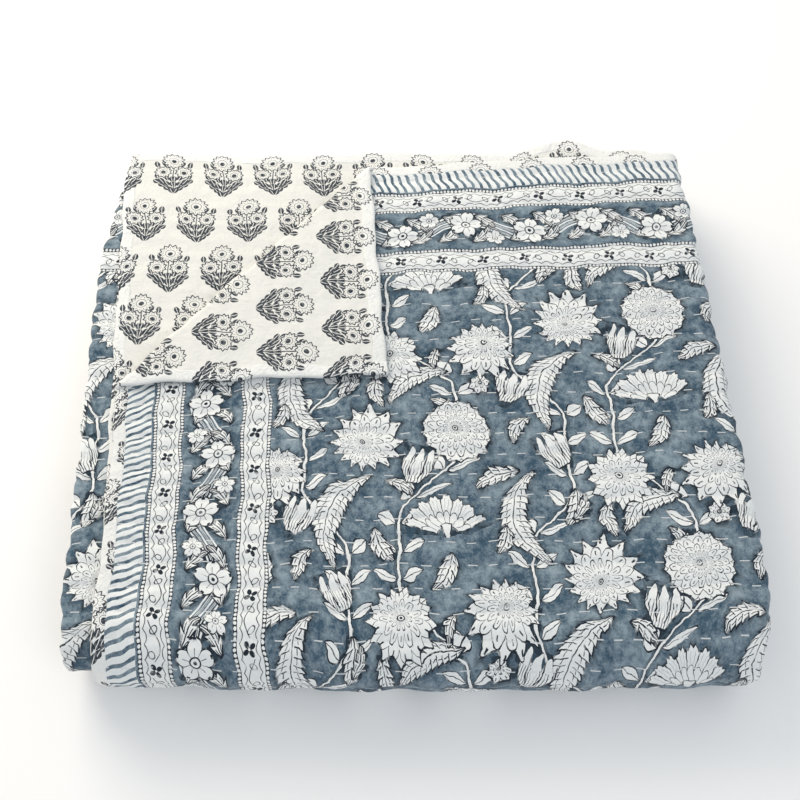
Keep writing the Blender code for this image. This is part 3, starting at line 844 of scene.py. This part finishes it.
# The field's motifs: what is drawn, where it stands in the repeat, how it is turned, and its sizes
FIELD = [
    (field_vine, (98, 0), 0, {"Sway": 34.0, "Step": 26.0}),
    (field_vine, (4, 96), 0, {"Sway": 24.0, "Step": 29.0}),
    (leaf, (104, 90), -52, {"Long": 30.0, "Wide": 6.5, "Bend": 4.0, "Teeth": 4.0, "Bite": 0.30}),
    (leaf, (60, 80), 100, {"Long": 36.0, "Wide": 8.5, "Bend": 4.0, "Teeth": 5.0, "Bite": 0.28}),
    (leaf, (100, 166), 64, {"Long": 36.0, "Wide": 9.0, "Bend": -4.0, "Teeth": 5.0, "Bite": 0.25}),
    (leaf, (140, 258), 24, {"Long": 42.0, "Wide": 9.0, "Bend": 6.0, "Teeth": 6.0, "Bite": 0.30}),
    (leaf, (66, 190), 122, {"Long": 38.0, "Wide": 8.5, "Bend": 4.0, "Teeth": 5.0, "Bite": 0.28}),
    (leaf, (20, 92), 80, {"Long": 36.0, "Wide": 9.5, "Bend": -4.0, "Teeth": 5.0, "Bite": 0.25}),
    (leaf, (66, 84), 33, {"Long": 66.0, "Wide": 11.0, "Bend": 13.0, "Teeth": 12.0, "Bite": 0.24}),
    (leaf, (12, 184), 68, {"Long": 94.0, "Wide": 15.0, "Bend": 26.0, "Teeth": 17.0, "Bite": 0.22}),
    (leaf, (200, 186), 96, {"Long": 90.0, "Wide": 14.0, "Bend": 24.0, "Teeth": 16.0, "Bite": 0.22}),
    (leaf, (108, 122), 70, {"Long": 26.0, "Wide": 6.0, "Bend": 3.0, "Teeth": 4.0, "Bite": 0.30}),
    (leaf, (84, 252), 150, {"Long": 28.0, "Wide": 6.5, "Bend": -4.0, "Teeth": 4.0, "Bite": 0.30}),
    (leaf, (176, 40), 60, {"Long": 34.0, "Wide": 7.5, "Bend": 5.0, "Teeth": 5.0, "Bite": 0.30}),
    (leaf, (154, 196), 70, {"Long": 30.0, "Wide": 7.0, "Bend": -4.0, "Teeth": 4.0, "Bite": 0.30}),
    (leaf, (34, 122), 250, {"Long": 26.0, "Wide": 6.0, "Bend": 3.0, "Teeth": 4.0, "Bite": 0.30}),
    (tulip, (84, 0), -14, {"Tall": 38.0}),
    (tulip, (172, 84), -20, {"Tall": 37.0}),
    (tulip, (20, 148), 20, {"Tall": 35.0}),
    (fan_flower, (112, 212), 6, {"Tall": 37.0}),
    (head, (150, 105), 0,
     {"Reach": 10.5, "Petals": 7.0, "Points": 0.2, "Ring": 5.0, "Core": 1.5, "Nod": 0.2}),
    (head, (38, 40), 150,
     {"Reach": 34.0, "Petals": 15.0, "Points": 0.25, "Ring": 8.2, "Core": 2.0, "Nod": 0.26}),
    (head, (126, 56), 0,
     {"Reach": 31.5, "Petals": 17.0, "Points": 0.07, "Ring": 6.6, "Core": 2.5, "Nod": 0.10}),
    (head, (68, 140), 20,
     {"Reach": 31.0, "Petals": 13.0, "Points": 0.22, "Ring": 9.0, "Core": 3.0, "Nod": 0.12}),
    (head, (160, 150), -30,
     {"Reach": 31.0, "Petals": 15.0, "Points": 0.26, "Ring": 7.6, "Core": 2.0, "Nod": 0.32}),
]


def make_face_print():
    b, made = cloth_material("block_printed_face")
    x, y = b.split(b.hand)
    back_facing = b.pair(x, REPEAT[1] * 8 - y)
    tone = None
    for motif, at, degrees, sizes in FIELD:
        spot = b.use(place, Cloth=back_facing, Across=float(at[0]), Along=float(at[1]))
        drawn = b.use(motif, Spot=b.turned(spot, degrees) if degrees else spot, **sizes)
        tone = b.over(tone, drawn) if tone else drawn
    x, y = b.split(b.steady)
    side = b.sum("MINIMUM", x, WIDTH * 1000 - x)
    end = b.sum("MINIMUM", y, LENGTH * 1000 - y)
    by_side = b.less(side, end)
    deep = b.sum("MINIMUM", side, end)
    along = b.sum("MULTIPLY_ADD", y + x, by_side, x * -1.0)
    hem_tone, inside, stripe = b.use(border, Deep=deep, Along=along)
    tone = b.sum("MULTIPLY_ADD", tone, 1 - inside, hem_tone * inside)
    blot = b.noise(b.cloth, 0.034, 3.0)
    smear = b.noise(b.cloth, 0.15, 3.0)
    grain = b.noise(b.cloth, 0.55, 2.0)
    strength = 0.48 + (blot - 0.5) * 1.7 + (smear - 0.5) * 1.5 + (grain - 0.5) * 0.9
    ground = mixed(b, limited(b, strength), GROUND_DARK, GROUND_PALE)
    pool = limited(b, b.sum("MINIMUM", tone, 0.0) * -1.0 * limited(b, (smear - 0.33) * 3.6))
    ground = mixed(b, pool, ground, POOL)
    plain = b.both(inside, b.less(deep, STRIPE_GROUND_DEEP))
    ground = mixed(b, plain * (1 - stripe), ground, WHITE_COTTON)
    colour = mixed(b, limited(b, tone), ground, WHITE_COTTON)
    colour = mixed(b, limited(b, tone - 1) * limited(b, 0.85 + (smear - 0.4) * 3.0), colour, OUTLINE)
    thread, pull = b.use(stitches, Cloth=b.cloth)
    colour = mixed(b, thread * 0.85, colour, THREAD)
    b.join(colour, b.shader.inputs["Base Color"])
    height = b.use(weave, Cloth=b.cloth) * 0.06 - pull * 0.8 + blot * 1.5 + smear * 0.7 + thread * 0.2
    raise_cloth(b, height, 0.0018)
    return made


def make_reverse_print(name, cream, creases):
    b, made = cloth_material(name)
    x, y = b.split(b.steady)
    row, half_step = b.whole(y / SPRIG_ROW), SPRIG_EVERY / 2
    across = b.sum("WRAP", x + row * half_step - 1.0, half_step, -half_step)
    ink = b.use(sprig, Spot=b.pair(across * 0.89, SPRIG_ROW / 2 - b.part(y / SPRIG_ROW) * SPRIG_ROW))
    worn = b.noise(b.cloth, 0.35, 2.0)
    soft = b.noise(b.cloth, 0.05, 3.0)
    colour = mixed(b, ink * limited(b, 0.50 + worn * 1.0), cream, SPRIG_INK)
    b.join(colour, b.shader.inputs["Base Color"])
    thread, pull = b.use(stitches, Cloth=b.cloth)
    raise_cloth(b, b.use(weave, Cloth=b.cloth) * 0.06 + pull * 0.25 + worn * creases + soft * 1.3, 0.0018)
    return made


face_print = make_face_print()
reverse_print = make_reverse_print("block_printed_reverse", CREAM_COTTON, 0.22)
# The binding takes the brighter cotton set above, painted light in its colour on the same cloth as the
# reverse.
binding_print = make_reverse_print("printed_binding", BINDING_COTTON_BRIGHTENED_FOR_SHADE, 0.6)
quilt = make_quilt(face_print, reverse_print)
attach(quilt, "root")
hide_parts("quilt")
hem_along = [0.0, *ALONG_LINES, LENGTH]
hem_across = [BINDING, *ACROSS_LINES[2:-2], WIDTH - BINDING]
for name, lines, side, far in (("side_binding_top", hem_along, 0, False),
                               ("side_binding_second", hem_along, 0, True),
                               ("end_binding_top", hem_across, 1, False),
                               ("end_binding_inner", hem_across, 1, True)):
    strip = make_binding("sewn_" + name, binding_print, lines, side, far)
    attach(strip, "root")
    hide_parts(name)

deselect()
bpy.ops.mesh.primitive_plane_add(size=12, location=(0, 0, -0.0003))
floor = bpy.context.active_object
floor.name = "studio_floor"
paper = bpy.data.materials.new("white_paper")
paper.use_nodes = True
paper.node_tree.nodes["Principled BSDF"].inputs["Base Color"].default_value = PAPER
paper.node_tree.nodes["Principled BSDF"].inputs["Roughness"].default_value = 0.9
floor.data.materials.append(paper)


def softbox(name, place, aim, size, power, colour):
    """A large square lamp at a place, aimed at a point."""
    lamp = bpy.data.lights.new(name, "AREA")
    lamp.size, lamp.energy, lamp.color = size, power, colour
    stand = bpy.data.objects.new(name, lamp)
    bpy.context.scene.collection.objects.link(stand)
    stand.location = place
    stand.rotation_euler = (Vector(aim) - Vector(place)).to_track_quat("-Z", "Y").to_euler()
    return stand


softbox("key_light", (-0.9, 1.2, 1.0), (0, 0.05, 0), 1.3, 27, (1.0, 0.905, 0.77))
softbox("fill_light", (1.2, -1.5, 2.2), (0, 0, 0), 1.6, 12, (0.82, 0.91, 1.0))
world = bpy.data.worlds.new("studio")
bpy.context.scene.world = world
world.use_nodes = True
world.node_tree.nodes["Background"].inputs["Color"].default_value = (0.97, 0.985, 1.0, 1)
world.node_tree.nodes["Background"].inputs["Strength"].default_value = 0.70

camera = bpy.data.cameras.new("view")
camera.lens, camera.sensor_width = 48.6, 36
viewer = bpy.data.objects.new("view", camera)
bpy.context.scene.collection.objects.link(viewer)
viewer.location = (-0.0082, -0.511, 0.985)
viewer.rotation_euler = (math.radians(28), 0, 0)
bpy.context.scene.camera = viewer
bpy.context.scene.view_settings.view_transform = "Standard"
